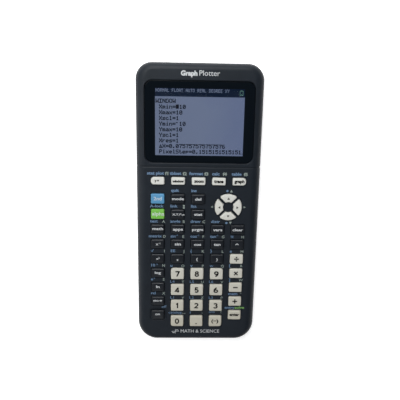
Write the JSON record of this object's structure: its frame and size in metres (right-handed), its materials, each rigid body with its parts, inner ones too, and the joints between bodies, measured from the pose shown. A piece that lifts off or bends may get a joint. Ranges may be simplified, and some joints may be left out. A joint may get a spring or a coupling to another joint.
{
  "type": "graphing calculator",
  "caption": "Handheld graphing calculator with a recessed colour display, separate sprung keys, a four-way arrow ring and a hinged battery cover.",
  "frame": {"origin": "centre of the footprint, on the plane the calculator's feet rest on", "axes": "+Z out of the key face, +Y towards the display end, +X to the right when the keys are read"},
  "size_m": [0.0824, 0.1928, 0.0168],
  "materials": {
    "case_plastic": "fine matte texture, dark slate",
    "key_dark": "satin, dark slate",
    "key_light": "satin, off-white",
    "key_blue": "satin, light blue",
    "key_green": "satin, green",
    "window_glass": "glossy clear plate with a black border printed on its back",
    "display": "lit colour panel in a thin metal frame",
    "board": "green solder mask",
    "rubber": "soft, matt",
    "battery": "shrink wrap, black",
    "screw_steel": "zinc-plated steel"
  },
  "bodies": {
    "housing": {"front_case": "case_plastic", "rear_case": "case_plastic", "display_window": "window_glass", "display_module": "display", "circuit_board": "board", "key_mat": "rubber", "battery_pack": "battery"},
    "battery_door": {"battery_cover": "case_plastic", "battery_cover_screw": "screw_steel"},
    "reset_button": {"reset_button": "rubber"},
    "key_0": {"key_0": "key_light"},
    "key_1": {"key_1": "key_light"},
    "key_2": {"key_2": "key_light"},
    "key_3": {"key_3": "key_light"},
    "key_4": {"key_4": "key_light"},
    "key_5": {"key_5": "key_light"},
    "key_6": {"key_6": "key_light"},
    "key_7": {"key_7": "key_light"},
    "key_8": {"key_8": "key_light"},
    "key_9": {"key_9": "key_light"},
    "key_add": {"key_add": "key_light"},
    "key_alpha": {"key_alpha": "key_green"},
    "key_apps": {"key_apps": "key_dark"},
    "key_clear": {"key_clear": "key_dark"},
    "key_close_bracket": {"key_close_bracket": "key_dark"},
    "key_comma": {"key_comma": "key_dark"},
    "key_cos": {"key_cos": "key_dark"},
    "key_delete": {"key_delete": "key_dark"},
    "key_divide": {"key_divide": "key_light"},
    "key_down": {"key_down": "key_light"},
    "key_enter": {"key_enter": "key_light"},
    "key_graph": {"key_graph": "key_light"},
    "key_inverse": {"key_inverse": "key_dark"},
    "key_left": {"key_left": "key_light"},
    "key_ln": {"key_ln": "key_dark"},
    "key_log": {"key_log": "key_dark"},
    "key_math": {"key_math": "key_dark"},
    "key_mode": {"key_mode": "key_dark"},
    "key_multiply": {"key_multiply": "key_light"},
    "key_negative": {"key_negative": "key_light"},
    "key_on": {"key_on": "key_dark"},
    "key_open_bracket": {"key_open_bracket": "key_dark"},
    "key_point": {"key_point": "key_light"},
    "key_power": {"key_power": "key_dark"},
    "key_program": {"key_program": "key_dark"},
    "key_right": {"key_right": "key_light"},
    "key_second": {"key_second": "key_blue"},
    "key_sin": {"key_sin": "key_dark"},
    "key_square": {"key_square": "key_dark"},
    "key_stat": {"key_stat": "key_dark"},
    "key_store": {"key_store": "key_dark"},
    "key_subtract": {"key_subtract": "key_light"},
    "key_tan": {"key_tan": "key_dark"},
    "key_trace": {"key_trace": "key_light"},
    "key_up": {"key_up": "key_light"},
    "key_variable": {"key_variable": "key_dark"},
    "key_vars": {"key_vars": "key_dark"},
    "key_window": {"key_window": "key_light"},
    "key_y_equals": {"key_y_equals": "key_light"},
    "key_zoom": {"key_zoom": "key_light"}
  },
  "joints": [
    {"name": "key_0_press", "type": "slide", "parent": "housing", "child": "key_0", "axis": [0, 0, 1], "range_m": [-0.0009, 0], "stiffness_N_per_m": 300, "springref_m": 0.0004},
    {"name": "key_1_press", "type": "slide", "parent": "housing", "child": "key_1", "axis": [0, 0, 1], "range_m": [-0.0009, 0], "stiffness_N_per_m": 300, "springref_m": 0.0004},
    {"name": "key_2_press", "type": "slide", "parent": "housing", "child": "key_2", "axis": [0, 0, 1], "range_m": [-0.0009, 0], "stiffness_N_per_m": 300, "springref_m": 0.0004},
    {"name": "key_3_press", "type": "slide", "parent": "housing", "child": "key_3", "axis": [0, 0, 1], "range_m": [-0.0009, 0], "stiffness_N_per_m": 300, "springref_m": 0.0004},
    {"name": "key_4_press", "type": "slide", "parent": "housing", "child": "key_4", "axis": [0, 0, 1], "range_m": [-0.0009, 0], "stiffness_N_per_m": 300, "springref_m": 0.0004},
    {"name": "key_5_press", "type": "slide", "parent": "housing", "child": "key_5", "axis": [0, 0, 1], "range_m": [-0.0009, 0], "stiffness_N_per_m": 300, "springref_m": 0.0004},
    {"name": "key_6_press", "type": "slide", "parent": "housing", "child": "key_6", "axis": [0, 0, 1], "range_m": [-0.0009, 0], "stiffness_N_per_m": 300, "springref_m": 0.0004},
    {"name": "key_7_press", "type": "slide", "parent": "housing", "child": "key_7", "axis": [0, 0, 1], "range_m": [-0.0009, 0], "stiffness_N_per_m": 300, "springref_m": 0.0004},
    {"name": "key_8_press", "type": "slide", "parent": "housing", "child": "key_8", "axis": [0, 0, 1], "range_m": [-0.0009, 0], "stiffness_N_per_m": 300, "springref_m": 0.0004},
    {"name": "key_9_press", "type": "slide", "parent": "housing", "child": "key_9", "axis": [0, 0, 1], "range_m": [-0.0009, 0], "stiffness_N_per_m": 300, "springref_m": 0.0004},
    {"name": "key_add_press", "type": "slide", "parent": "housing", "child": "key_add", "axis": [0, 0, 1], "range_m": [-0.0009, 0], "stiffness_N_per_m": 300, "springref_m": 0.0004},
    {"name": "key_alpha_press", "type": "slide", "parent": "housing", "child": "key_alpha", "axis": [0, 0, 1], "range_m": [-0.0009, 0], "stiffness_N_per_m": 300, "springref_m": 0.0004},
    {"name": "key_apps_press", "type": "slide", "parent": "housing", "child": "key_apps", "axis": [0, 0, 1], "range_m": [-0.0009, 0], "stiffness_N_per_m": 300, "springref_m": 0.0004},
    {"name": "key_clear_press", "type": "slide", "parent": "housing", "child": "key_clear", "axis": [0, 0, 1], "range_m": [-0.0009, 0], "stiffness_N_per_m": 300, "springref_m": 0.0004},
    {"name": "key_close_bracket_press", "type": "slide", "parent": "housing", "child": "key_close_bracket", "axis": [0, 0, 1], "range_m": [-0.0009, 0], "stiffness_N_per_m": 300, "springref_m": 0.0004},
    {"name": "key_comma_press", "type": "slide", "parent": "housing", "child": "key_comma", "axis": [0, 0, 1], "range_m": [-0.0009, 0], "stiffness_N_per_m": 300, "springref_m": 0.0004},
    {"name": "key_cos_press", "type": "slide", "parent": "housing", "child": "key_cos", "axis": [0, 0, 1], "range_m": [-0.0009, 0], "stiffness_N_per_m": 300, "springref_m": 0.0004},
    {"name": "key_delete_press", "type": "slide", "parent": "housing", "child": "key_delete", "axis": [0, 0, 1], "range_m": [-0.0009, 0], "stiffness_N_per_m": 300, "springref_m": 0.0004},
    {"name": "key_divide_press", "type": "slide", "parent": "housing", "child": "key_divide", "axis": [0, 0, 1], "range_m": [-0.0009, 0], "stiffness_N_per_m": 300, "springref_m": 0.0004},
    {"name": "key_down_press", "type": "slide", "parent": "housing", "child": "key_down", "axis": [0, 0, 1], "range_m": [-0.0009, 0], "stiffness_N_per_m": 300, "springref_m": 0.0004},
    {"name": "key_enter_press", "type": "slide", "parent": "housing", "child": "key_enter", "axis": [0, 0, 1], "range_m": [-0.0009, 0], "stiffness_N_per_m": 300, "springref_m": 0.0004},
    {"name": "key_graph_press", "type": "slide", "parent": "housing", "child": "key_graph", "axis": [0, 0, 1], "range_m": [-0.0009, 0], "stiffness_N_per_m": 300, "springref_m": 0.0004},
    {"name": "key_inverse_press", "type": "slide", "parent": "housing", "child": "key_inverse", "axis": [0, 0, 1], "range_m": [-0.0009, 0], "stiffness_N_per_m": 300, "springref_m": 0.0004},
    {"name": "key_left_press", "type": "slide", "parent": "housing", "child": "key_left", "axis": [0, 0, 1], "range_m": [-0.0009, 0], "stiffness_N_per_m": 300, "springref_m": 0.0004},
    {"name": "key_ln_press", "type": "slide", "parent": "housing", "child": "key_ln", "axis": [0, 0, 1], "range_m": [-0.0009, 0], "stiffness_N_per_m": 300, "springref_m": 0.0004},
    {"name": "key_log_press", "type": "slide", "parent": "housing", "child": "key_log", "axis": [0, 0, 1], "range_m": [-0.0009, 0], "stiffness_N_per_m": 300, "springref_m": 0.0004},
    {"name": "key_math_press", "type": "slide", "parent": "housing", "child": "key_math", "axis": [0, 0, 1], "range_m": [-0.0009, 0], "stiffness_N_per_m": 300, "springref_m": 0.0004},
    {"name": "key_mode_press", "type": "slide", "parent": "housing", "child": "key_mode", "axis": [0, 0, 1], "range_m": [-0.0009, 0], "stiffness_N_per_m": 300, "springref_m": 0.0004},
    {"name": "key_multiply_press", "type": "slide", "parent": "housing", "child": "key_multiply", "axis": [0, 0, 1], "range_m": [-0.0009, 0], "stiffness_N_per_m": 300, "springref_m": 0.0004},
    {"name": "key_negative_press", "type": "slide", "parent": "housing", "child": "key_negative", "axis": [0, 0, 1], "range_m": [-0.0009, 0], "stiffness_N_per_m": 300, "springref_m": 0.0004},
    {"name": "key_on_press", "type": "slide", "parent": "housing", "child": "key_on", "axis": [0, 0, 1], "range_m": [-0.0009, 0], "stiffness_N_per_m": 300, "springref_m": 0.0004},
    {"name": "key_open_bracket_press", "type": "slide", "parent": "housing", "child": "key_open_bracket", "axis": [0, 0, 1], "range_m": [-0.0009, 0], "stiffness_N_per_m": 300, "springref_m": 0.0004},
    {"name": "key_point_press", "type": "slide", "parent": "housing", "child": "key_point", "axis": [0, 0, 1], "range_m": [-0.0009, 0], "stiffness_N_per_m": 300, "springref_m": 0.0004},
    {"name": "key_power_press", "type": "slide", "parent": "housing", "child": "key_power", "axis": [0, 0, 1], "range_m": [-0.0009, 0], "stiffness_N_per_m": 300, "springref_m": 0.0004},
    {"name": "key_program_press", "type": "slide", "parent": "housing", "child": "key_program", "axis": [0, 0, 1], "range_m": [-0.0009, 0], "stiffness_N_per_m": 300, "springref_m": 0.0004},
    {"name": "key_right_press", "type": "slide", "parent": "housing", "child": "key_right", "axis": [0, 0, 1], "range_m": [-0.0009, 0], "stiffness_N_per_m": 300, "springref_m": 0.0004},
    {"name": "key_second_press", "type": "slide", "parent": "housing", "child": "key_second", "axis": [0, 0, 1], "range_m": [-0.0009, 0], "stiffness_N_per_m": 300, "springref_m": 0.0004},
    {"name": "key_sin_press", "type": "slide", "parent": "housing", "child": "key_sin", "axis": [0, 0, 1], "range_m": [-0.0009, 0], "stiffness_N_per_m": 300, "springref_m": 0.0004},
    {"name": "key_square_press", "type": "slide", "parent": "housing", "child": "key_square", "axis": [0, 0, 1], "range_m": [-0.0009, 0], "stiffness_N_per_m": 300, "springref_m": 0.0004},
    {"name": "key_stat_press", "type": "slide", "parent": "housing", "child": "key_stat", "axis": [0, 0, 1], "range_m": [-0.0009, 0], "stiffness_N_per_m": 300, "springref_m": 0.0004},
    {"name": "key_store_press", "type": "slide", "parent": "housing", "child": "key_store", "axis": [0, 0, 1], "range_m": [-0.0009, 0], "stiffness_N_per_m": 300, "springref_m": 0.0004},
    {"name": "key_subtract_press", "type": "slide", "parent": "housing", "child": "key_subtract", "axis": [0, 0, 1], "range_m": [-0.0009, 0], "stiffness_N_per_m": 300, "springref_m": 0.0004},
    {"name": "key_tan_press", "type": "slide", "parent": "housing", "child": "key_tan", "axis": [0, 0, 1], "range_m": [-0.0009, 0], "stiffness_N_per_m": 300, "springref_m": 0.0004},
    {"name": "key_trace_press", "type": "slide", "parent": "housing", "child": "key_trace", "axis": [0, 0, 1], "range_m": [-0.0009, 0], "stiffness_N_per_m": 300, "springref_m": 0.0004},
    {"name": "key_up_press", "type": "slide", "parent": "housing", "child": "key_up", "axis": [0, 0, 1], "range_m": [-0.0009, 0], "stiffness_N_per_m": 300, "springref_m": 0.0004},
    {"name": "key_variable_press", "type": "slide", "parent": "housing", "child": "key_variable", "axis": [0, 0, 1], "range_m": [-0.0009, 0], "stiffness_N_per_m": 300, "springref_m": 0.0004},
    {"name": "key_vars_press", "type": "slide", "parent": "housing", "child": "key_vars", "axis": [0, 0, 1], "range_m": [-0.0009, 0], "stiffness_N_per_m": 300, "springref_m": 0.0004},
    {"name": "key_window_press", "type": "slide", "parent": "housing", "child": "key_window", "axis": [0, 0, 1], "range_m": [-0.0009, 0], "stiffness_N_per_m": 300, "springref_m": 0.0004},
    {"name": "key_y_equals_press", "type": "slide", "parent": "housing", "child": "key_y_equals", "axis": [0, 0, 1], "range_m": [-0.0009, 0], "stiffness_N_per_m": 300, "springref_m": 0.0004},
    {"name": "key_zoom_press", "type": "slide", "parent": "housing", "child": "key_zoom", "axis": [0, 0, 1], "range_m": [-0.0009, 0], "stiffness_N_per_m": 300, "springref_m": 0.0004},
    {"name": "reset_press", "type": "slide", "parent": "housing", "child": "reset_button", "axis": [0, 0, 1], "range_m": [0, 0.0005], "stiffness_N_per_m": 300, "springref_m": -0.0003},
    {"name": "battery_door_hinge", "type": "hinge", "parent": "housing", "child": "battery_door", "pos_m": [0, 0.0005, 0.0006], "axis": [1, 0, 0], "range_deg": [0, 35]}
  ]
}
